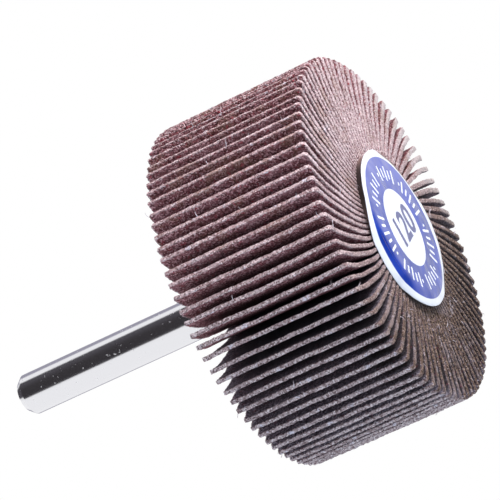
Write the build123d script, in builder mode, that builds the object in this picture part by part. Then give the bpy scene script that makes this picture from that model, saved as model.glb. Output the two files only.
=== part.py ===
from build123d import *
import math
import os

# Flap wheel: abrasive cloth flaps bonded round a cast hub on a plain steel shank.
# Millimetres, +Z up. The wheel stands on its label with the shank up, and the origin
# is on the wheel's axis at the label's face.

# Wheel and flaps
wheel_diameter = 54.0
flap_width = 25.8
flap_thickness = 0.55
flap_count = 88
flap_bend_radius = 20.0
flap_bend_angle = 14.2
flap_bend_unevenness = 0.18
flap_corner_chamfer = 0.7
flap_root_depth = 1.5
flap_root_web = 0.15
flap_straight_stretch = 0.4
flaps_per_node = 2

# Hub, cast round the flap roots and the shank
hub_proud = 1.2
hub_rear_recess = 0.6
hub_dish_depth = 1.2
hub_rim_land = 0.6
hub_collar_width = 0.9
hub_floor_thickness = 3.0
bond_gap = 0.02

# Label, stuck on the hub's front face
label_thickness = 0.15
label_overhang = 1.0
label_droop = 0.35

# Shank
shank_diameter = 6.35
shank_reach = 39.0
shank_tip_chamfer = 0.9
shank_groove_width = 2.4
shank_groove_depth = 0.5

# Radii that follow: the flap roots stand side by side round the hub
wheel_radius = wheel_diameter / 2
root_radius = flap_count * (flap_thickness + flap_root_web) / (2 * math.pi)
hub_radius = root_radius + flap_root_depth
label_radius = hub_radius + label_overhang
shank_radius = shank_diameter / 2
bore_radius = shank_radius + bond_gap
collar_radius = bore_radius + hub_collar_width
dish_radius = root_radius - hub_rim_land
bend_start = hub_radius + flap_straight_stretch

# Heights that follow, from the label's face up
hub_front = label_thickness + bond_gap
flap_front = hub_front + hub_proud
flap_rear = flap_front + flap_width
hub_rear = flap_rear - hub_rear_recess
shank_foot = hub_front + hub_floor_thickness
shank_tip = flap_rear + shank_reach
groove_top = hub_rear + bond_gap


def unevenness(number):
    """How far one flap's bend strays from the mean, between -1 and 1."""
    return 0.5 * math.sin(2.4 * number) + 0.5 * math.sin(5.3 * number + 1.0)


def run_to_rim(start, heading):
    """How far a flap runs on, straight along its heading, before it reaches the rim."""
    along = start.dot(heading)
    return math.sqrt(along**2 - start.dot(start) + wheel_radius**2) - along


def save(piece, name):
    """Labels a finished piece and writes it under its name."""
    piece.label = name
    export_step(piece, f"parts/{name}.step")


os.makedirs("parts", exist_ok=True)

# Shank: turned bar with a chamfered tip and a groove that keys it into the hub
with BuildPart() as shank:
    with BuildSketch(Plane.XZ):
        with BuildLine():
            Polyline(
                (0, shank_foot),
                (shank_radius, shank_foot),
                (shank_radius, shank_tip - shank_tip_chamfer),
                (shank_radius - shank_tip_chamfer, shank_tip),
                (0, shank_tip),
                close=True,
            )
        make_face()
        with Locations((shank_radius, groove_top)):
            Rectangle(
                2 * shank_groove_depth,
                shank_groove_width,
                align=(Align.CENTER, Align.MAX),
                mode=Mode.SUBTRACT,
            )
    revolve(axis=Axis.Z)
save(shank.part, "shank")

# Hub: proud front, rear dished round a collar at the shank, one slot for each flap
with BuildPart() as hub:
    with BuildSketch(Plane.XZ):
        with BuildLine():
            Polyline(
                (0, hub_front),
                (hub_radius, hub_front),
                (hub_radius, hub_rear),
                (dish_radius, hub_rear),
                (dish_radius - hub_dish_depth, hub_rear - hub_dish_depth),
                (collar_radius + hub_dish_depth, hub_rear - hub_dish_depth),
                (collar_radius, hub_rear),
                (0, hub_rear),
                close=True,
            )
        make_face()
    revolve(axis=Axis.Z)
    with BuildSketch(Plane.XZ):
        with Locations((0, shank_foot - bond_gap)):
            Rectangle(bore_radius, shank_tip, align=(Align.MIN, Align.MIN))
        with Locations((bore_radius, hub_rear)):
            Rectangle(
                2 * shank_groove_depth,
                shank_groove_width - 2 * bond_gap,
                align=(Align.CENTER, Align.MAX),
                mode=Mode.SUBTRACT,
            )
    revolve(axis=Axis.Z, mode=Mode.SUBTRACT)
    with BuildSketch(Plane.XY.offset(flap_front - bond_gap)):
        with PolarLocations(root_radius - bond_gap, flap_count):
            Rectangle(
                2 * flap_root_depth,
                flap_thickness + 2 * bond_gap,
                align=(Align.MIN, Align.CENTER),
            )
    extrude(amount=2 * flap_width, mode=Mode.SUBTRACT)
save(hub.part, "hub")

# Label: paper disc, flat on the hub and drooping past its edge
with BuildPart() as label:
    with BuildSketch(Plane.XZ):
        with BuildLine():
            Polyline(
                (0, 0),
                (hub_radius, 0),
                (label_radius, label_droop),
                (label_radius, label_droop + label_thickness),
                (hub_radius, label_thickness),
                (0, label_thickness),
                close=True,
            )
        make_face()
    revolve(axis=Axis.Z)
save(label.part, "label")

# Flaps: a radial root in the hub, an arc, then straight to the rim, with a cut front corner
for first in range(0, flap_count, flaps_per_node):
    with BuildPart() as flaps:
        for number in range(first, min(first + flaps_per_node, flap_count)):
            bend_angle = flap_bend_angle * (1 + flap_bend_unevenness * unevenness(number))
            turned = (0, 0, 360 * number / flap_count)
            with BuildSketch(Plane.XY.offset(flap_front).rotated(turned)):
                with BuildLine():
                    root = Line((root_radius, 0), (bend_start, 0))
                    bend = JernArc(root @ 1, root % 1, flap_bend_radius, bend_angle)
                    run = run_to_rim(bend @ 1, bend % 1)
                    PolarLine(bend @ 1, run, direction=bend % 1)
                trace(line_width=flap_thickness)
            extrude(amount=flap_width)
            across = flaps.edges(Select.LAST).filter_by(
                lambda edge: math.isclose(edge.length, flap_thickness, rel_tol=1e-4)
            )
            front = across.group_by(Axis.Z)[0].sort_by_distance((0, 0, flap_front))
            chamfer(front[-1], flap_corner_chamfer)
    save(flaps.part, f"flaps_{first // flaps_per_node + 1:02d}")
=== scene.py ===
import math
import random

import bpy
from mathutils import Matrix, Vector


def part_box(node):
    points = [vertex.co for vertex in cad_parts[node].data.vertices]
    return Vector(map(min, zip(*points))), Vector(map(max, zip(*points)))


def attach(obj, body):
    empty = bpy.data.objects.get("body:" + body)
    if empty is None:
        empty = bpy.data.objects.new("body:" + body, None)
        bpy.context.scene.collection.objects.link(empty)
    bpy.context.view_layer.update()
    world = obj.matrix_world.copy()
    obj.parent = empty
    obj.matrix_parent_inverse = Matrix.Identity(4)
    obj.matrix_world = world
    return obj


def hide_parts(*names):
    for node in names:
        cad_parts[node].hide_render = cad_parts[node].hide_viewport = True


# Flap wheel: abrasive cloth flaps round a cast resin hub, a printed label and a chrome
# shank. Metres, +Z up. The wheel stands on its label with the shank up.

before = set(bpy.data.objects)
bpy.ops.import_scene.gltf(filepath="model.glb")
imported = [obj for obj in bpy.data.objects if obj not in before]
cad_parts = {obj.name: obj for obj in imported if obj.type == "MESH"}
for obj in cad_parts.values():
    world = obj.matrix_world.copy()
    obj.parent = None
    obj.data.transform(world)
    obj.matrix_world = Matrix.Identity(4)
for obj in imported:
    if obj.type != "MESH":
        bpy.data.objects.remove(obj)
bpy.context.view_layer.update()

MM = 0.001
PER_MM = 1000.0

# Flaps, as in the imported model
flap_count = 88
flap_thickness = 0.55 * MM
flap_root_web = 0.15 * MM
flap_root_depth = 1.5 * MM
flap_straight_stretch = 0.4 * MM
flap_bend_radius = 20.0 * MM
flap_bend_angle = 14.2
flap_bend_unevenness = 0.18
flaps_per_node = 2
wheel_radius = 27.0 * MM
root_radius = flap_count * (flap_thickness + flap_root_web) / (2 * math.pi)
hub_radius = root_radius + flap_root_depth
bend_start = hub_radius + flap_straight_stretch
root_run = bend_start - root_radius

# The flat sheet that every flap is bent from: its cells and its rounded corners
sheet_cells_along = 14
sheet_cells_across = 20
edge_cell_cuts = 4
front_corner_radius = 0.65 * MM
rear_corner_radius = 0.35 * MM
corner_cut_angles = (22.5, 45.0, 67.5)

# Each flap's own shape: curl of its tip, swollen edges, waves and grit
tip_curl_start = 0.6
tip_curl = 12.0
tip_curl_evening = 6.0
curl_lengthening = 1.012
full_edge_thickness = 0.86 * MM
thin_edge_thickness = 0.6 * MM
rim_edge_thickness = 0.6 * MM
edge_thickness_unevenness = 0.07 * MM
edge_unevenness_turn = 4.1
edge_pressing_sharpness = 1.5
edge_swelling_start = 0.25
cut_edge_rounding = 0.24 * MM
free_end_softness = 1.3
wave_height = 0.36 * MM
wave_size = 8.0 * MM
ripple_height = 0.14 * MM
ripple_size = 1.5 * MM
grit_height = 0.3 * MM
grit_size = 0.22 * MM

# Loose threads on the cut edges
threads_per_node = 5
thread_length = 1.3 * MM
thread_radius = 0.08 * MM
thread_sides = 5
thread_steps = 5
thread_bend = 18
thread_taper = 0.85
thread_outwardness = 0.7
thread_scales = (0.5, 1.1)

# Label. A wave of its border has an azimuth and a spread in degrees and a height in mm.
label_shift = Vector((-0.42, 0.75, 0)) * MM
label_rings = 26
label_sides = 144
label_thickness = 0.15 * MM
label_edge_rounding = 0.04 * MM
label_bend_margin = 0.6 * MM
label_bend_sharpness = 1.4
label_waves = (
    (152.0, 58.0, 1.5), (98.0, 45.0, 0.35), (50.0, 45.0, 0.4), (308.0, 42.0, 0.75)
)
label_top_height = 1.15 * MM
label_ripple_height = 0.15 * MM
label_ripple_size = 3.0 * MM
label_ripple_level = 0.3

# Print on the label
print_shift = Vector((-0.62, 0.8, 0)) * MM
print_blur = 0.05 * MM
blue_outer_radius = 11.2 * MM
blue_inner_radius = 6.1 * MM
ink_height = 0.01 * MM
number_size = 6.3 * MM
number_stroke_growth = 0.16 * MM
number_turn = 21.0
mark_radius = 8.6 * MM
long_mark_length = 2.4 * MM
short_mark_length = 1.5 * MM
mark_width = 0.42 * MM
dot_length = 1.4 * mark_width
mark_corner = 0.4 * mark_width
mark_groups = 7
marks_per_group = 5
marks_and_gaps_per_group = marks_per_group + 1.5
dot_place_in_group = 0.96

# Shank. The steps of its tip's edge are outward and upward, in mm.
shank_sides = 128
shank_tip_chamfer = 0.9 * MM
chamfer_rounding = 0.25 * MM
chamfer_rounding_steps = 4
chamfer_rounding_rise = 0.935
tip_edge_steps = ((0.12, -0.12), (0.03, -0.03), (-0.09, 0.0))

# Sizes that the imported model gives
flap_low, flap_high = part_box("flaps_01")
flap_front, flap_rear = flap_low.z, flap_high.z
flap_width = flap_rear - flap_front
label_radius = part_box("label")[1].x
shank_low, shank_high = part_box("shank")
shank_radius = shank_high.x
shank_foot, shank_tip = shank_low.z, shank_high.z

# Wear of the cloth, and light and shade painted on it. Depths are in mm from an edge of
# the flap. Reaches are places in the wheel's plane, from where an effect is absent to where
# it is full: east is +X, south is +Y, which is the wheel's lower side in the photograph.
grain_size = 0.21 * MM
grain_relief = 0.22 * MM
dark_grains, light_grains = (0.1, 0.5), (0.6, 0.95)
wear_depth = 0.5
side_wear_fade = 0.3
edge_wear_fade = 0.6
front_depths = (1.2, 0.2)
fresh_depths = (0.6, 4.5)
# Lower right: browner front edges, darkened there by painted shade
used_and_shade_reach = (-12.0 * MM, 13.0 * MM)
# Upper right: painted light on the front edges
painted_light_reach = (34.0 * MM, 44.0 * MM)
tanned_reach = (4.0 * MM, -8.0 * MM)
# Lower side: painted cool shade on worn edges
painted_cool_shade_reach = (-6.0 * MM, 10.0 * MM)
red_reach = (8.0 * MM, -4.0 * MM)
# The next four paint shade in the gaps between flaps, near the front and at the lower right
painted_gap_shade_reach = (2.0 * MM, 12.0 * MM)
painted_gap_shade_front_depths = (0.14, 0.3)
painted_gap_shade_floor_depths = (7.0, 4.0)
painted_gap_shade_rim_depths = (0.2, 1.5)

# Levels of a random grain at which a patch starts and is full, and how strongly each
# effect colours the cloth, 0 to 1
soiled_patches, soiled_strength = (0.48, 0.62), 0.5
dusty_patches, dusty_strength = (0.5, 0.68), 0.25
tanned_patches, tanned_strength = (0.5, 0.3), 0.4
lint_patches, lint_on_front = (0.61, 0.67), 0.45
red_patches, red_strength, red_in_shade = (0.66, 0.72), 0.6, 0.3
# Painted light at the upper right
painted_light_strength = 0.55
fresh_strength = 0.85
# Painted cool shade on the lower side
painted_cool_shade_strength = 0.5
# Painted shade in the gaps between flaps
painted_gap_shade_strength = 0.8

# Patches of the other finishes
resin_dust_heights = (2.2 * MM, 1.2 * MM)
# Painted shade on the hub under the label's lifted upper-left edge
resin_painted_shade = (216.0, 20.0, 12.0)
chrome_speck_patches = (0.70, 0.76)
# Painted sheen: the label's blue pales towards the top
blue_painted_sheen_reach, blue_painted_sheen_strength = (0.0, -11.0 * MM), 0.3

# Camera, fitted to the photograph's outlines and measured from the flaps' front plane
camera_place = Vector((-518.43 * MM, 73.0 * MM, flap_front - 169.89 * MM))
camera_forward = Vector((0.92822, -0.1412, 0.3442))
camera_up = Vector((0.00747, -0.91792, -0.39669))
camera_lens = 272.54
camera_sensor = 36.0

# Studio, as gloss shows it. A screen has an azimuth and a spread in degrees, and some a
# softness. Its foot or top are heights on the sky, -1 to 1, from absent to full.
side_screen, side_screen_foot = (211.0, 49.0), (-0.25, -0.1)
steep_screen, steep_screen_foot = (-60.0, 50.0), (0.72, 0.8)
low_screens, low_screens_top = ((95.0, 20.0), (-48.0, 14.0)), (-0.12, -0.22)
low_screens_depth = 0.8
grey_screen, grey_screen_foot = (-24.0, 43.0, 6.0), (0.02, 0.12)
grey_screen_top = (0.72, 0.62)
ground_top = (-0.6, -0.75)
dimmer_top = (-0.3, -0.6)
deep_shade = (195.0, 25.0, 25.0)
white = (1, 1, 1, 1)
dimmed_white = (0.78, 0.78, 0.84, 1)
screen_grey = (0.36, 0.35, 0.42, 1)
screen_dark = (0.072, 0.067, 0.077, 1)
screen_darker = (0.037, 0.033, 0.036, 1)

# Glow of the world on matt surfaces, and the floor's rings in wheel radii: a painted shadow
# under the wheel, and far out a stronger glow
bright_side = (-0.15, -0.9, -0.4)
bright_side_reach = (-0.4, 1.0)
cool_glow, warm_glow = (0.53, 0.6, 0.68, 1), (1.0, 0.97, 0.96, 1)
floor_size = 4
floor_clearance = 0.2 * MM
# Painted shadow under the wheel: the ring where it starts and where it is full
painted_shadow_ring = (1.15, 0.96)
far_ring = (3, 18)
near_glow, far_glow = 0.35, 0.8
# The floor's tone, and the tone of the painted shadow under the wheel
floor_pale, floor_painted_shadow = (0.82, 0.82, 0.83, 1), (0.2, 0.19, 0.19, 1)


def unevenness(number):
    """How far one flap's bend strays from the mean, between -1 and 1."""
    return 0.5 * math.sin(2.4 * number) + 0.5 * math.sin(5.3 * number + 1.0)


def flap_course(number):
    """One flap's bend angle, the length of its arc and of its straight run to the rim."""
    turn = math.radians(flap_bend_angle) * (1 + flap_bend_unevenness * unevenness(number))
    heading = Vector((math.cos(turn), math.sin(turn)))
    bend_end = Vector((bend_start, flap_bend_radius)) + flap_bend_radius * Vector(
        (heading.y, -heading.x)
    )
    ahead = bend_end.dot(heading)
    straight = math.sqrt(ahead**2 - bend_end.dot(bend_end) + wheel_radius**2) - ahead
    return turn, flap_bend_radius * turn, straight


def azimuth_of(number):
    """Where one flap's root stands round the wheel, in radians."""
    return 2 * math.pi * number / flap_count


def angle_apart(first, second):
    """The degrees between two directions."""
    return abs((first - second + 180) % 360 - 180)


sheet_run = sum(flap_course(0)[1:])
sheet_length = root_run + sheet_run


# Work at the bench: selecting, editing and finishing a mesh


def lay_down_tools():
    """Leaves every object unselected."""
    bpy.ops.object.select_all(action="DESELECT")


def pick(piece):
    """Makes one piece the only selected and active one."""
    lay_down_tools()
    piece.select_set(True)
    bpy.context.view_layer.objects.active = piece


def select_faces(piece, wanted):
    """Selects a piece's faces that pass the test, from object mode."""
    for vertex in piece.data.vertices:
        vertex.select = False
    for edge in piece.data.edges:
        edge.select = False
    for face in piece.data.polygons:
        face.select = wanted(face)


def edit_all(piece):
    """Opens a piece in edit mode with everything selected."""
    pick(piece)
    bpy.ops.object.mode_set(mode="EDIT")
    bpy.ops.mesh.select_all(action="SELECT")


def leave_edit():
    """Goes back to object mode."""
    bpy.ops.object.mode_set(mode="OBJECT")


def settle(piece):
    """Puts a piece's place, turn and scale into its mesh."""
    pick(piece)
    bpy.ops.object.transform_apply(location=True, rotation=True, scale=True)


def finish_with(piece, kind, **settings):
    """Adds one modifier, sets it up and applies it."""
    pick(piece)
    modifier = piece.modifiers.new(kind.lower(), kind)
    for name, value in settings.items():
        setattr(modifier, name, value)
    bpy.ops.object.modifier_apply(modifier=modifier.name)


def bevel_edges(piece, width, sharper_than):
    """Rounds a piece's edges that are sharper than an angle in degrees."""
    finish_with(
        piece,
        "BEVEL",
        width=width,
        segments=2,
        limit_method="ANGLE",
        angle_limit=math.radians(sharper_than),
    )


def smooth(piece, up_to):
    """Shades a piece smooth where its faces meet at less than an angle in degrees."""
    pick(piece)
    bpy.ops.object.shade_smooth_by_angle(angle=math.radians(up_to))


def copy_of(piece, name):
    """A copy of a piece with a mesh of its own."""
    twin = piece.copy()
    twin.data = piece.data.copy()
    twin.name = name
    bpy.context.scene.collection.objects.link(twin)
    return twin


def join(pieces, name):
    """Joins pieces into the first one and names it."""
    pick(pieces[0])
    for piece in pieces[1:]:
        piece.select_set(True)
    if len(pieces) > 1:
        bpy.ops.object.join()
    pieces[0].name = name
    pieces[0].data.name = name
    return pieces[0]


def relief(name, size, depth=2):
    """A soft random relief for displacing a surface."""
    texture = bpy.data.textures.new(name, "CLOUDS")
    texture.noise_scale = size
    texture.noise_depth = depth
    return texture


# Finishes: small helpers for node materials


def tone(red, green, blue):
    """A colour as the eye sees it, 0 to 255, made linear."""
    levels = []
    for level in (red, green, blue):
        level /= 255
        linear = level / 12.92 if level <= 0.04045 else ((level + 0.055) / 1.055) ** 2.4
        levels.append(linear)
    return (*levels, 1.0)


def start_material(name, roughness, metallic=0.0):
    """A new material with its tree, its shader and its texture coordinates."""
    material = bpy.data.materials.new(name)
    material.use_nodes = True
    tree = material.node_tree
    shader = tree.nodes["Principled BSDF"]
    shader.inputs["Roughness"].default_value = roughness
    shader.inputs["Metallic"].default_value = metallic
    place = tree.nodes.new("ShaderNodeTexCoord")
    return material, tree, shader, place


def feed(tree, socket, value):
    """Sets a socket to a number or colour, or links it to another socket."""
    if isinstance(value, bpy.types.NodeSocket):
        tree.links.new(value, socket)
    else:
        socket.default_value = value


def calculate(tree, operation, first, *others, clamp=False):
    """Numbers joined by one operation, in their order."""
    result = first
    for other in others:
        node = tree.nodes.new("ShaderNodeMath")
        node.operation = operation
        node.use_clamp = clamp
        feed(tree, node.inputs[0], result)
        feed(tree, node.inputs[1], other)
        result = node.outputs[0]
    return result


def product(tree, *factors):
    """The product of numbers."""
    return calculate(tree, "MULTIPLY", *factors)


def rest_of(tree, share):
    """What a share leaves of one."""
    return calculate(tree, "SUBTRACT", 1.0, share)


def distance(tree, east, south):
    """How far a place is from the axis that its two numbers are measured from."""
    squares = [calculate(tree, "POWER", number, 2.0) for number in (east, south)]
    return calculate(tree, "SQRT", calculate(tree, "ADD", *squares), 0.0)


def parts_of(tree, place):
    """The three numbers of a place."""
    node = tree.nodes.new("ShaderNodeSeparateXYZ")
    tree.links.new(place, node.inputs[0])
    return node.outputs


def along(tree, place, direction):
    """How far a place lies along a direction."""
    node = tree.nodes.new("ShaderNodeVectorMath")
    node.operation = "DOT_PRODUCT"
    tree.links.new(place, node.inputs[0])
    node.inputs[1].default_value = direction
    return node.outputs["Value"]


def direction_of(tree, place):
    """The level direction of a place, one long."""
    level = tree.nodes.new("ShaderNodeVectorMath")
    level.operation = "MULTIPLY"
    tree.links.new(place, level.inputs[0])
    level.inputs[1].default_value = (1, 1, 0)
    unit = tree.nodes.new("ShaderNodeVectorMath")
    unit.operation = "NORMALIZE"
    tree.links.new(level.outputs[0], unit.inputs[0])
    return unit.outputs[0]


def sector(tree, facing, azimuth, spread, soft=3.0):
    """Where a direction lies within a spread round an azimuth, all in degrees."""
    middle = math.radians(azimuth)
    nearness = along(tree, facing, (math.cos(middle), math.sin(middle), 0))
    low = math.cos(math.radians(spread + soft))
    high = math.cos(math.radians(max(0.0, spread - soft)))
    return step(tree, nearness, low, high)


def grain(tree, place, size, detail=2.0, roughness=0.5):
    """Random grain of a size in metres, 0 to 1."""
    node = tree.nodes.new("ShaderNodeTexNoise")
    node.inputs["Scale"].default_value = 1.0 / size
    node.inputs["Detail"].default_value = detail
    node.inputs["Roughness"].default_value = roughness
    feed(tree, node.inputs["Vector"], place)
    return node.outputs["Fac"]


def grains_of(tree, place, size):
    """Close-set grains of a size in metres: each grain's own number, and its height."""
    node = tree.nodes.new("ShaderNodeTexVoronoi")
    node.inputs["Scale"].default_value = 1.0 / size
    feed(tree, node.inputs["Vector"], place)
    own = parts_of(tree, node.outputs["Color"])[0]
    return own, rest_of(tree, node.outputs["Distance"])


def step(tree, value, low, high, start=0.0, end=1.0):
    """A smooth step of a value from low to high."""
    node = tree.nodes.new("ShaderNodeMapRange")
    node.interpolation_type = "SMOOTHSTEP"
    feed(tree, node.inputs["Value"], value)
    node.inputs["From Min"].default_value = low
    node.inputs["From Max"].default_value = high
    node.inputs["To Min"].default_value = start
    node.inputs["To Max"].default_value = end
    return node.outputs["Result"]


def mix(tree, factor, first, second):
    """A mix of two colours."""
    node = tree.nodes.new("ShaderNodeMix")
    node.data_type = "RGBA"
    feed(tree, node.inputs[0], factor)
    feed(tree, node.inputs[6], first)
    feed(tree, node.inputs[7], second)
    return node.outputs[2]


def clouded(tree, cloud, first, second):
    """Two colours that drift into one another by a random grain."""
    return mix(tree, step(tree, cloud, 0.3, 0.7), first, second)


def bump(tree, shader, height, depth, strength=1.0):
    """Fine relief from a height between 0 and 1 over a depth in metres."""
    node = tree.nodes.new("ShaderNodeBump")
    node.inputs["Strength"].default_value = strength
    node.inputs["Distance"].default_value = depth
    feed(tree, node.inputs["Height"], height)
    tree.links.new(node.outputs["Normal"], shader.inputs["Normal"])


# Tones of the cloth: dark, middle and light grains, or one tone for a whole patch

grit_tones = (tone(82, 34, 39), tone(138, 79, 86), tone(208, 160, 168))
cloth_tones = (tone(58, 52, 63), tone(99, 92, 106), tone(154, 147, 161))
worn_tones = (tone(122, 90, 94), tone(184, 153, 158), tone(226, 205, 210))
front_tones = (tone(150, 122, 127), tone(194, 170, 175), tone(222, 204, 208))
# Front edges of the lower right: browner, and darker as painted shade
used_and_shade_tones = (tone(70, 54, 47), tone(105, 85, 74), tone(156, 133, 120))
# Greyer and darker: painted cool shade of the lower side
painted_cool_shade_tones = (tone(92, 86, 90), tone(162, 154, 158), tone(212, 205, 209))
fresh_grit_tone = tone(80, 40, 42)
fresh_cloth_tone = tone(96, 88, 103)
soiled_tone = tone(74, 60, 54)
# Painted light at the upper right
painted_light_tone = tone(208, 202, 202)
tanned_tone = tone(146, 112, 92)
lint_tone = tone(212, 204, 218)
# Painted shade in the gaps between flaps
painted_gap_shade_tone = tone(34, 27, 25)
red_tone = tone(168, 56, 72)


def flap_depths(tree, place):
    """How deep a spot of a flap lies in mm: from the rim, the front and any free edge."""
    across = parts_of(tree, place.outputs["UV"])
    from_rim = product(tree, rest_of(tree, across[0]), sheet_length * PER_MM)
    from_front = product(tree, across[1], flap_width * PER_MM)
    from_rear = calculate(tree, "SUBTRACT", flap_width * PER_MM, from_front)
    from_edge = calculate(tree, "MINIMUM", from_front, from_rear, from_rim)
    return from_rim, from_front, from_edge


def cloth_finish(name, tones, fresh_tone, wear_fade):
    """Coated cloth in close grains: fresh inside, pale at its free edges, browner at the
    wheel's lower right and darkened there by painted shade, painted shade in the gaps
    there, painted light at its upper right, painted cool shade on its lower side, with lint
    and red spots."""
    material, tree, shader, place = start_material(name, 0.8)
    spot = place.outputs["Object"]
    coarse = grain(tree, spot, 0.4 * MM, 2.0, 0.65)
    patches = grain(tree, spot, 4.0 * MM, 3.0, 0.6)
    own, height = grains_of(tree, spot, grain_size)

    def grains(dark, middle, light):
        body = mix(tree, step(tree, own, *dark_grains), dark, middle)
        return mix(tree, step(tree, own, *light_grains), body, light)

    from_rim, from_front, from_edge = flap_depths(tree, place)
    ragged = calculate(tree, "ADD", from_edge, coarse)
    worn = step(tree, ragged, wear_depth + wear_fade, wear_depth)
    at_front = step(tree, from_front, *front_depths)
    east, south = parts_of(tree, spot)[0:2]
    to_lower_right = calculate(tree, "ADD", product(tree, east, 0.3), south)
    to_upper_right = calculate(tree, "SUBTRACT", product(tree, east, 1.5), south)

    soiled = product(tree, step(tree, patches, *soiled_patches), soiled_strength)
    used_and_shade_body = mix(tree, soiled, grains(*used_and_shade_tones), soiled_tone)
    # Lower right: the front edges turn browner, and darker as painted shade
    used_and_shade = step(tree, to_lower_right, *used_and_shade_reach)
    front_body = mix(tree, used_and_shade, grains(*front_tones), used_and_shade_body)
    # Painted light: front edges at the upper right lighten as if lit from the right
    painted_light = product(
        tree, step(tree, to_upper_right, *painted_light_reach), painted_light_strength
    )
    front_body = mix(tree, painted_light, front_body, painted_light_tone)
    body = mix(tree, worn, grains(*tones), grains(*worn_tones))
    body = mix(tree, product(tree, at_front, worn), body, front_body)

    dusty = product(tree, step(tree, patches, *dusty_patches), dusty_strength)
    body = mix(tree, dusty, body, tones[2])
    tanned = product(
        tree,
        step(tree, patches, *tanned_patches),
        tanned_strength,
        step(tree, south, *tanned_reach),
    )
    body = mix(tree, tanned, body, tanned_tone)
    fresh = product(tree, step(tree, from_edge, *fresh_depths), fresh_strength)
    body = mix(tree, fresh, body, fresh_tone)
    # Painted cool shade: worn edges away from the front turn greyer and darker towards the
    # lower side
    worn_elsewhere = calculate(tree, "SUBTRACT", worn, at_front, clamp=True)
    painted_cool_shade = product(
        tree, step(tree, south, *painted_cool_shade_reach), painted_cool_shade_strength, worn_elsewhere
    )
    body = mix(tree, painted_cool_shade, body, grains(*painted_cool_shade_tones))

    lint = product(
        tree,
        step(tree, grain(tree, spot, 1.8 * MM, 3.0, 0.6), *lint_patches),
        step(tree, own, 0.1, 0.6, 0.35, 1.0),
        step(tree, at_front, 0.0, 1.0, 1.0, lint_on_front),
        worn,
    )
    body = mix(tree, lint, body, lint_tone)
    # Painted shade: the gaps between flaps near the front turn dark towards the lower right
    painted_gap_shade = product(
        tree,
        step(tree, from_front, *painted_gap_shade_front_depths),
        step(tree, from_front, *painted_gap_shade_floor_depths),
        step(tree, from_rim, *painted_gap_shade_rim_depths),
        step(tree, to_lower_right, *painted_gap_shade_reach, 0.0, painted_gap_shade_strength),
    )
    body = mix(tree, painted_gap_shade, body, painted_gap_shade_tone)
    red_spots = product(
        tree,
        step(tree, grain(tree, spot, 0.8 * MM, 1.0), *red_patches),
        red_strength,
        step(tree, south, *red_reach, red_in_shade, 1.0),
        rest_of(tree, worn),
    )
    body = mix(tree, red_spots, body, red_tone)
    tree.links.new(body, shader.inputs["Base Color"])
    bump(tree, shader, height, grain_relief)
    return material


def cotton_finish():
    """Pale cotton of the loose threads."""
    material, tree, shader, place = start_material("pale_cotton", 0.9)
    cloud = grain(tree, place.outputs["Object"], 0.5 * MM)
    drift = step(tree, cloud, 0.35, 0.65)
    cotton = mix(tree, drift, tone(168, 152, 160), tone(222, 214, 226))
    tree.links.new(cotton, shader.inputs["Base Color"])
    return material


def chrome_finish():
    """Bright chrome with tiny dull specks."""
    material, tree, shader, place = start_material("bright_chrome", 0.15, 1.0)
    spot = place.outputs["Object"]
    specks = step(tree, grain(tree, spot, 0.5 * MM, 1.0, 0.5), *chrome_speck_patches)
    colour = mix(tree, specks, tone(232, 232, 236), tone(246, 246, 250))
    tree.links.new(colour, shader.inputs["Base Color"])
    roughness = calculate(tree, "ADD", 0.15, product(tree, specks, 0.5))
    tree.links.new(roughness, shader.inputs["Roughness"])
    bump(tree, shader, grain(tree, spot, 3.0 * MM, 2.0, 0.5), 0.012 * MM, 0.2)
    return material


def resin_finish():
    """Cast resin, brown and slightly glossy, dusty near the label but for one patch of
    painted shade under the label's lifted upper-left edge.
    """
    material, tree, shader, place = start_material("cast_resin", 0.42)
    spot = place.outputs["Object"]
    cloud = grain(tree, spot, 2.5 * MM, 3.0, 0.55)
    colour = clouded(tree, cloud, tone(52, 38, 34), tone(88, 64, 56))
    grit = step(tree, grain(tree, spot, 0.25 * MM, 2.0, 0.6), 0.6, 0.75)
    colour = mix(tree, product(tree, grit, 0.4), colour, tone(160, 128, 118))
    near_label = step(tree, parts_of(tree, spot)[2], *resin_dust_heights)
    dust = mix(tree, step(tree, grit, 0.2, 0.8), tone(112, 88, 84), tone(164, 138, 134))
    colour = mix(tree, near_label, colour, dust)
    # Painted shade where the label's lifted upper-left edge overhangs the hub
    painted_shade_under_label = sector(tree, direction_of(tree, spot), *resin_painted_shade)
    colour = mix(tree, product(tree, near_label, painted_shade_under_label), colour, tone(40, 31, 30))
    tree.links.new(colour, shader.inputs["Base Color"])
    bump(tree, shader, cloud, 0.15 * MM, 0.6)
    return material


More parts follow.
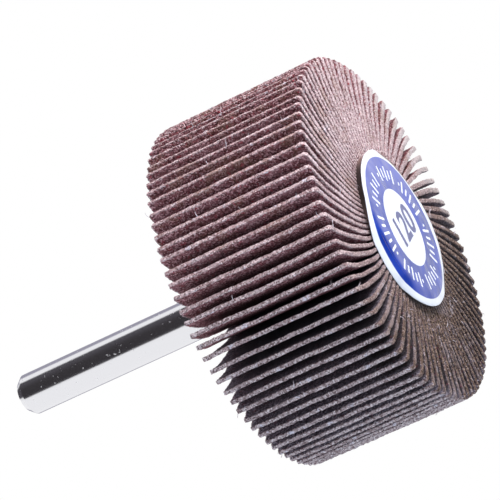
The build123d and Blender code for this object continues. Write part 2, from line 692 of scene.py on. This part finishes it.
def printed_paper_finish():
    """Glossy label paper: white border, blue ring and white middle, in true rings, the blue
    paling towards the top as a painted sheen.
    """
    material, tree, shader, place = start_material("printed_label", 0.2)
    spot = place.outputs["Object"]
    east, south = parts_of(tree, spot)[0:2]
    radius = distance(
        tree,
        calculate(tree, "SUBTRACT", east, print_shift.x),
        calculate(tree, "SUBTRACT", south, print_shift.y),
    )
    ring = product(
        tree,
        step(tree, radius, blue_outer_radius + print_blur, blue_outer_radius - print_blur),
        step(tree, radius, blue_inner_radius - print_blur, blue_inner_radius + print_blur),
    )
    cloud = grain(tree, spot, 4.0 * MM, 2.0, 0.5)
    blue = clouded(tree, cloud, tone(18, 48, 142), tone(34, 62, 164))
    # Painted sheen: the blue pales to lilac towards the label's top
    faded = product(tree, step(tree, south, *blue_painted_sheen_reach), blue_painted_sheen_strength)
    blue = mix(tree, faded, blue, tone(140, 142, 214))
    paper = clouded(tree, cloud, tone(216, 221, 234), tone(222, 227, 239))
    tree.links.new(mix(tree, ring, paper, blue), shader.inputs["Base Color"])
    shader.inputs["Specular IOR Level"].default_value = 0.1
    shader.inputs["Coat Weight"].default_value = 0.7
    shader.inputs["Coat Roughness"].default_value = 0.06
    shader.inputs["Coat IOR"].default_value = 1.45
    bump(tree, shader, grain(tree, spot, 5.0 * MM, 2.0, 0.45), 0.8 * MM)
    return material


def ink_finish(name, colour, faded):
    """Printing ink under the label's gloss."""
    material, tree, shader, place = start_material(name, 0.3)
    cloud = grain(tree, place.outputs["Object"], 0.8 * MM, 2.0, 0.5)
    tree.links.new(clouded(tree, cloud, colour, faded), shader.inputs["Base Color"])
    shader.inputs["Specular IOR Level"].default_value = 0.35
    return material


# Pieces


def edge_shares(place):
    """How near a spot of the flat flap is to a free edge and to the front edge, 0 to 1."""
    cell_along = sheet_length / sheet_cells_along
    grown = min(1.0, max(0.0, place.x / sheet_run) / edge_swelling_start)
    from_front = place.z - flap_front
    depth = min(sheet_run - place.x, from_front, flap_rear - place.z)
    near_edge = (1.0 - min(1.0, depth / cell_along)) * grown
    near_front = max(0.0, 1.0 - from_front / cell_along) * grown
    return near_edge, near_front


def flap_sheet(finishes):
    """One flat flap, its rim at +X: a sheet with fine cells along its free edges."""
    bpy.ops.mesh.primitive_grid_add(
        x_subdivisions=sheet_cells_along,
        y_subdivisions=sheet_cells_across,
        size=1,
        rotation=(math.pi / 2, 0, 0),
        location=((sheet_run - root_run) / 2, 0, flap_front + flap_width / 2),
    )
    sheet = bpy.context.active_object
    sheet.name = "flap_sheet"
    sheet.scale = (sheet_length, flap_width, 1)
    settle(sheet)

    cell_along = sheet_length / sheet_cells_along
    cell_across = flap_width / sheet_cells_across
    select_faces(
        sheet,
        lambda face: face.center.x > sheet_run - cell_along
        or face.center.z < flap_front + cell_across
        or face.center.z > flap_rear - cell_across,
    )
    bpy.ops.object.mode_set(mode="EDIT")
    bpy.ops.mesh.select_mode(type="FACE")
    bpy.ops.mesh.subdivide(number_cuts=edge_cell_cuts, ngon=False)
    for corner, way, radius in (
        (flap_front, -1, front_corner_radius),
        (flap_rear, 1, rear_corner_radius),
    ):
        centre = Vector((sheet_run - radius, 0, corner - way * radius))
        for degrees in corner_cut_angles:
            angle = math.radians(degrees)
            outward = Vector((math.cos(angle), 0, way * math.sin(angle)))
            bpy.ops.mesh.select_all(action="SELECT")
            bpy.ops.mesh.bisect(
                plane_co=centre + outward * radius, plane_no=outward, clear_outer=True
            )
    leave_edit()

    free_end = sheet.vertex_groups.new(name="free_end")
    worn_edge = sheet.vertex_groups.new(name="worn_edge")
    for vertex in sheet.data.vertices:
        softness = max(0.0, vertex.co.x / sheet_run) ** free_end_softness
        free_end.add([vertex.index], softness, "REPLACE")
        worn_edge.add([vertex.index], edge_shares(vertex.co)[0], "REPLACE")
    for finish in finishes:
        sheet.data.materials.append(finish)
    return sheet


def swell_edges(flap, number):
    """Marks how thick a flat flap gets in mm: its free edges swell, and the front ones
    most where the wheel was pressed flat."""
    pressed = (0.5 - 0.5 * math.sin(azimuth_of(number))) ** edge_pressing_sharpness
    front = thin_edge_thickness + (full_edge_thickness - thin_edge_thickness) * pressed
    front += edge_thickness_unevenness * math.sin(edge_unevenness_turn * number)
    fullness = flap.vertex_groups.new(name="fullness")
    for vertex in flap.data.vertices:
        near_edge, near_front = edge_shares(vertex.co)
        thickness = flap_thickness
        thickness += (rim_edge_thickness - flap_thickness) * near_edge**2
        thickness += (front - rim_edge_thickness) * near_front
        fullness.add([vertex.index], min(1.0, thickness * PER_MM), "REPLACE")


def bend_flap(flap, angle, start, end):
    """Bends a flat flap about +Z between two places, as shares of its length."""
    finish_with(
        flap,
        "SIMPLE_DEFORM",
        deform_method="BEND",
        deform_axis="Z",
        angle=angle,
        limits=(start, end),
    )


def bent_flap(sheet, number, waves, ripples, grit):
    """One flap from the sheet: bent, set in its place, made uneven and given thickness."""
    turn, arc, straight = flap_course(number)
    stretch = (arc + straight) * curl_lengthening / sheet_run
    root = root_run * stretch
    curl_start = tip_curl_start * sheet_run
    flap = copy_of(sheet, f"flap_{number:02d}")
    swell_edges(flap, number)
    flap.scale.x = stretch
    flap.location.x = -curl_start
    settle(flap)
    curl = math.radians(tip_curl - tip_curl_evening * unevenness(number))
    bend_flap(flap, curl, (root + curl_start) / (sheet_length * stretch), 1)
    flap.location.x = curl_start
    settle(flap)
    bend_flap(flap, turn, root / flap.dimensions.x, (root + arc) / flap.dimensions.x)
    azimuth = azimuth_of(number)
    flap.location = (bend_start * math.cos(azimuth), bend_start * math.sin(azimuth), 0)
    flap.rotation_euler = (0, 0, azimuth)
    settle(flap)
    for texture, strength in ((waves, wave_height), (ripples, ripple_height)):
        finish_with(
            flap, "DISPLACE", texture=texture, strength=strength, vertex_group="free_end"
        )
    finish_with(
        flap,
        "SOLIDIFY",
        thickness=MM,
        offset=0,
        vertex_group="fullness",
        material_offset=1,
        material_offset_rim=2,
    )
    bevel_edges(flap, cut_edge_rounding, 60)
    finish_with(
        flap, "DISPLACE", texture=grit, strength=grit_height, vertex_group="worn_edge"
    )
    return flap


def make_flaps():
    """Every flap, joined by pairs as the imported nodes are."""
    finishes = (
        cloth_finish("grit_side", grit_tones, fresh_grit_tone, side_wear_fade),
        cloth_finish("cloth_side", cloth_tones, fresh_cloth_tone, side_wear_fade),
        cloth_finish("cut_edge", worn_tones, worn_tones[1], edge_wear_fade),
    )
    sheet = flap_sheet(finishes)
    waves = relief("flap_waves", wave_size)
    ripples = relief("flap_ripples", ripple_size)
    grit = relief("grit_relief", grit_size)
    pairs = []
    for first in range(0, flap_count, flaps_per_node):
        numbers = range(first, min(first + flaps_per_node, flap_count))
        flaps = [bent_flap(sheet, number, waves, ripples, grit) for number in numbers]
        order = first // flaps_per_node + 1
        pair = join(flaps, f"cloth_flaps_{order:02d}")
        smooth(pair, 50)
        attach(pair, "root")
        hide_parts(f"flaps_{order:02d}")
        pairs.append(pair)
    bpy.data.objects.remove(sheet)
    return pairs


def loose_thread():
    """One thread pulled from a cut edge: thin, bent and tapering."""
    bpy.ops.mesh.primitive_circle_add(
        vertices=thread_sides, radius=thread_radius, fill_type="NGON"
    )
    thread = bpy.context.active_object
    edit_all(thread)
    rise = thread_length / thread_steps
    place = Vector((0, 0, 0))
    for part in range(1, thread_steps + 1):
        lean = math.radians(thread_bend * part)
        move = Vector((math.sin(lean), 0, math.cos(lean))) * rise
        place += move
        bpy.ops.mesh.extrude_region_move(TRANSFORM_OT_translate={"value": move})
        bpy.ops.transform.resize(value=(thread_taper,) * 3, center_override=place)
    bpy.ops.mesh.select_all(action="SELECT")
    bpy.ops.mesh.normals_make_consistent(inside=False)
    leave_edit()
    return thread


def make_threads(pairs):
    """Loose threads at random places along the flaps' cut edges."""
    chance = random.Random(5)
    pattern = loose_thread()
    threads = []
    for pair in pairs:
        edge_faces = [face for face in pair.data.polygons if face.material_index == 2]
        for face in chance.sample(edge_faces, threads_per_node):
            thread = copy_of(pattern, "thread")
            sideways = Vector([chance.uniform(-1, 1) for _ in range(3)])
            direction = (face.normal * thread_outwardness + sideways).normalized()
            thread.rotation_euler = direction.to_track_quat("Z", "Y").to_euler()
            thread.location = face.center - face.normal * thread_radius
            thread.scale = [chance.uniform(*thread_scales)] * 3
            settle(thread)
            threads.append(thread)
    bpy.data.objects.remove(pattern)
    piece = join(threads, "loose_threads")
    piece.data.materials.append(cotton_finish())
    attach(piece, "root")


def bend_back(place):
    """How far the label is bent back at a place, and how far out in its border that is."""
    outward = Vector((place.x, place.y)).normalized()
    azimuth = math.degrees(math.atan2(outward.y, outward.x))
    height = 0.0
    for middle, spread, top in label_waves:
        near = max(0.0, 1 - angle_apart(azimuth, middle) / spread)
        height += top * MM * near * near * (3 - 2 * near)
    edge = hub_radius - label_bend_margin
    full = (outward * label_radius + label_shift.xy).length - edge
    over = max(0.0, (place.xy + label_shift.xy).length - edge)
    out = min(1.0, over / full)
    return min(1.0, height / label_top_height) * out**label_bend_sharpness, out


def make_label():
    """The label: a thin disc, flat over the hub, its border bent back unevenly."""
    bpy.ops.mesh.primitive_circle_add(
        vertices=label_sides,
        radius=label_radius,
        fill_type="NGON",
        rotation=(math.pi, 0, 0),
    )
    label = bpy.context.active_object
    settle(label)
    edit_all(label)
    for _ in range(label_rings - 1):
        bpy.ops.mesh.inset(thickness=label_radius / label_rings)
    bpy.ops.mesh.poke()
    leave_edit()
    border = label.vertex_groups.new(name="border")
    bent_back = label.vertex_groups.new(name="bent_back")
    for vertex in label.data.vertices:
        back, out = bend_back(vertex.co)
        border.add([vertex.index], out, "REPLACE")
        bent_back.add([vertex.index], back, "REPLACE")
    finish_with(
        label,
        "DISPLACE",
        direction="Z",
        mid_level=0.0,
        strength=label_top_height,
        vertex_group="bent_back",
    )
    finish_with(
        label,
        "DISPLACE",
        direction="Z",
        mid_level=label_ripple_level,
        texture=relief("label_ripples", label_ripple_size, 0),
        strength=label_ripple_height,
        vertex_group="border",
    )
    finish_with(label, "SOLIDIFY", thickness=label_thickness, offset=-1)
    bevel_edges(label, label_edge_rounding, 50)
    label.location = label_shift
    settle(label)
    smooth(label, 40)
    label.name = "printed_disc"
    label.data.materials.append(printed_paper_finish())
    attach(label, "root")
    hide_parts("label")


def make_number():
    """The grit number in the middle of the label."""
    bpy.ops.object.text_add(location=(0, 0, 0))
    number = bpy.context.active_object
    number.data.body = "120"
    number.data.size = number_size
    number.data.align_x = "CENTER"
    number.data.align_y = "CENTER"
    number.data.offset = number_stroke_growth
    number.data.extrude = ink_height / 2
    pick(number)
    bpy.ops.object.convert(target="MESH")
    turn = math.radians(number_turn)
    right = Vector((math.cos(turn), -math.sin(turn), 0))
    up = Vector((-math.sin(turn), -math.cos(turn), 0))
    placed = Matrix((right, up, Vector((0, 0, -1)))).transposed().to_4x4()
    place = label_shift + Vector((0, 0, -ink_height / 2))
    number.data.transform(Matrix.Translation(place) @ placed)
    number.name = "grit_number"
    number.data.materials.append(
        ink_finish("number_ink", tone(78, 82, 126), tone(98, 102, 146))
    )
    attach(number, "root")


def print_mark(length, angle):
    """One white printed tick with rounded corners, at an angle on the blue ring."""
    bpy.ops.mesh.primitive_plane_add(
        size=1, location=(mark_radius, 0, 0), rotation=(math.pi, 0, 0)
    )
    mark = bpy.context.active_object
    mark.scale = (length, mark_width, 1)
    settle(mark)
    edit_all(mark)
    bpy.ops.mesh.bevel(affect="VERTICES", offset=mark_corner, segments=3)
    bpy.ops.mesh.select_all(action="SELECT")
    bpy.ops.mesh.extrude_region_move(TRANSFORM_OT_translate={"value": (0, 0, -ink_height)})
    leave_edit()
    mark.rotation_euler = (0, 0, angle)
    mark.location = print_shift
    settle(mark)
    return mark


def make_marks():
    """Groups of plain ticks, each followed by a dot, round the blue ring."""
    marks = []
    group_turn = 2 * math.pi / mark_groups
    for group in range(mark_groups):
        for order in range(marks_per_group):
            place_in_group = (order + 0.5) / marks_and_gaps_per_group
            angle = (group + place_in_group) * group_turn
            length = long_mark_length if order % 2 == 0 else short_mark_length
            marks.append(print_mark(length, angle))
        marks.append(print_mark(dot_length, (group + dot_place_in_group) * group_turn))
    piece = join(marks, "ring_marks")
    piece.data.materials.append(
        ink_finish("white_ink", tone(220, 225, 238), tone(228, 232, 243))
    )
    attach(piece, "root")


def shank_stations():
    """Radii and heights up the shank: its rounded shoulder and the edge of its tip."""
    shoulder = shank_tip - shank_tip_chamfer - chamfer_rounding
    stations = [(shank_radius, shoulder)]
    for part in range(1, chamfer_rounding_steps + 1):
        share = part / chamfer_rounding_steps
        radius = shank_radius - chamfer_rounding * 0.5 * share**2
        height = shoulder + chamfer_rounding * chamfer_rounding_rise * share
        stations.append((radius, height))
    tip_radius = shank_radius - shank_tip_chamfer
    for outward, upward in tip_edge_steps:
        stations.append((tip_radius + outward * MM, shank_tip + upward * MM))
    return stations


def make_shank():
    """The shank: a turned bar, drawn up ring by ring, with a rounded chamfer at its tip."""
    bpy.ops.mesh.primitive_circle_add(
        vertices=shank_sides,
        radius=shank_radius,
        fill_type="NGON",
        location=(0, 0, shank_foot),
    )
    shank = bpy.context.active_object
    settle(shank)
    edit_all(shank)
    radius, height = shank_radius, shank_foot
    for next_radius, next_height in shank_stations():
        bpy.ops.mesh.extrude_region_move(
            TRANSFORM_OT_translate={"value": (0, 0, next_height - height)}
        )
        share = next_radius / radius
        bpy.ops.transform.resize(
            value=(share, share, 1), center_override=(0, 0, next_height)
        )
        radius, height = next_radius, next_height
    bpy.ops.mesh.inset(thickness=(shank_radius - shank_tip_chamfer) / 2)
    bpy.ops.mesh.poke()
    bpy.ops.mesh.select_all(action="SELECT")
    bpy.ops.mesh.normals_make_consistent(inside=False)
    leave_edit()
    smooth(shank, 25)
    shank.name = "chrome_shank"
    shank.data.materials.append(chrome_finish())
    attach(shank, "root")
    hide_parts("shank")


def dress_hub():
    """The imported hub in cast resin."""
    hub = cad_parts["hub"]
    hub.data.materials.clear()
    hub.data.materials.append(resin_finish())


# Stage


def set_camera():
    """The camera at the photograph's place."""
    data = bpy.data.cameras.new("camera")
    data.lens = camera_lens
    data.sensor_width = camera_sensor
    camera = bpy.data.objects.new("camera", data)
    bpy.context.scene.collection.objects.link(camera)
    right = camera_forward.cross(camera_up)
    turn = Matrix((right, camera_up, -camera_forward)).transposed().to_4x4()
    camera.matrix_world = Matrix.Translation(camera_place) @ turn
    bpy.context.scene.camera = camera


def set_lamp(name, place, target, size, power, colour=(1, 1, 1)):
    """A soft square lamp that looks at a target; its places and its size are in mm."""
    data = bpy.data.lights.new(name, "AREA")
    data.shape = "SQUARE"
    data.size = size * MM
    data.energy = power
    data.color = colour
    lamp = bpy.data.objects.new(name, data)
    bpy.context.scene.collection.objects.link(lamp)
    lamp.location = Vector(place) * MM
    gaze = Vector(target) * MM - lamp.location
    lamp.rotation_euler = gaze.to_track_quat("-Z", "Y").to_euler()
    lamp.visible_glossy = False


def glossy_studio(tree, place):
    """What gloss and chrome reflect: a white studio with dark and grey screens."""
    height = parts_of(tree, place)[2]
    facing = direction_of(tree, place)
    side = product(
        tree, sector(tree, facing, *side_screen), step(tree, height, *side_screen_foot)
    )
    steep = product(
        tree, sector(tree, facing, *steep_screen), step(tree, height, *steep_screen_foot)
    )
    low = [sector(tree, facing, *screen) for screen in low_screens]
    low = product(
        tree,
        calculate(tree, "MAXIMUM", *low),
        step(tree, height, *low_screens_top),
        low_screens_depth,
    )
    ground = step(tree, height, *ground_top)
    dark = calculate(tree, "MAXIMUM", side, ground, steep, low)
    grey = product(
        tree,
        sector(tree, facing, *grey_screen),
        step(tree, height, *grey_screen_foot),
        step(tree, height, *grey_screen_top),
    )
    dimmer = step(tree, height, *dimmer_top)
    studio = mix(tree, dimmer, white, dimmed_white)
    studio = mix(tree, grey, studio, screen_grey)
    deep = sector(tree, facing, *deep_shade)
    shade = mix(tree, deep, screen_dark, screen_darker)
    return mix(tree, dark, studio, shade)


def set_world():
    """White to the camera, a plain glow on matt surfaces, and a studio in gloss."""
    world = bpy.data.worlds.new("studio")
    bpy.context.scene.world = world
    world.use_nodes = True
    tree = world.node_tree
    background = tree.nodes["Background"]
    rays = tree.nodes.new("ShaderNodeLightPath")
    place = tree.nodes.new("ShaderNodeTexCoord").outputs["Generated"]
    studio = glossy_studio(tree, place)
    lit_side = step(tree, along(tree, place, bright_side), *bright_side_reach)
    glow = mix(tree, lit_side, cool_glow, warm_glow)
    colour = mix(tree, rays.outputs["Is Glossy Ray"], glow, studio)
    seen_through = calculate(
        tree, "MAXIMUM", rays.outputs["Is Camera Ray"], rays.outputs["Is Transmission Ray"]
    )
    tree.links.new(mix(tree, seen_through, colour, white), background.inputs["Color"])
    background.inputs["Strength"].default_value = 1.0


def set_floor():
    """A pale floor, seen by the camera from above only, that takes the wheel's shadow from
    the lamps, with a painted shadow darkening it under the wheel.
    """
    bpy.ops.mesh.primitive_plane_add(size=floor_size, location=(0, 0, -floor_clearance))
    floor = bpy.context.active_object
    floor.name = "floor"
    material = bpy.data.materials.new("pale_floor")
    material.use_nodes = True
    tree = material.node_tree
    tree.nodes.clear()
    rays = tree.nodes.new("ShaderNodeLightPath")
    side = tree.nodes.new("ShaderNodeNewGeometry")
    place = tree.nodes.new("ShaderNodeTexCoord")
    from_wheel = distance(tree, *parts_of(tree, place.outputs["Object"])[0:2])
    # Painted shadow: under the wheel the floor turns dark and stops glowing
    painted_floor_shadow = step(tree, from_wheel, *(wheel_radius * ring for ring in painted_shadow_ring))
    far = step(tree, from_wheel, *(wheel_radius * ring for ring in far_ring))
    matt = tree.nodes.new("ShaderNodeBsdfDiffuse")
    colour = mix(tree, painted_floor_shadow, floor_pale, floor_painted_shadow)
    tree.links.new(colour, matt.inputs["Color"])
    glow = tree.nodes.new("ShaderNodeEmission")
    strength = calculate(tree, "ADD", near_glow, product(tree, far, far_glow))
    strength = product(tree, strength, rest_of(tree, painted_floor_shadow))
    tree.links.new(strength, glow.inputs["Strength"])
    lit = tree.nodes.new("ShaderNodeAddShader")
    clear = tree.nodes.new("ShaderNodeBsdfTransparent")
    choose = tree.nodes.new("ShaderNodeMixShader")
    output = tree.nodes.new("ShaderNodeOutputMaterial")
    above = rest_of(tree, side.outputs["Backfacing"])
    seen = product(tree, above, rays.outputs["Is Camera Ray"])
    tree.links.new(matt.outputs[0], lit.inputs[0])
    tree.links.new(glow.outputs[0], lit.inputs[1])
    tree.links.new(seen, choose.inputs[0])
    tree.links.new(clear.outputs[0], choose.inputs[1])
    tree.links.new(lit.outputs[0], choose.inputs[2])
    tree.links.new(choose.outputs[0], output.inputs["Surface"])
    floor.data.materials.append(material)


lay_down_tools()
make_threads(make_flaps())
make_label()
make_number()
make_marks()
make_shank()
dress_hub()

set_camera()
set_lamp("key", (-50, -100, -85), (0, 0, 10), 60, 0.26, (1.0, 0.98, 0.97))
set_lamp("fill", (-260, 260, 20), (0, 0, 14), 260, 0.45, (0.72, 0.93, 1.0))
set_lamp("overhead", (280, 160, 720), (0, 0, 14), 600, 6.0)
set_world()
set_floor()

scene = bpy.context.scene
scene.view_settings.view_transform = "Standard"
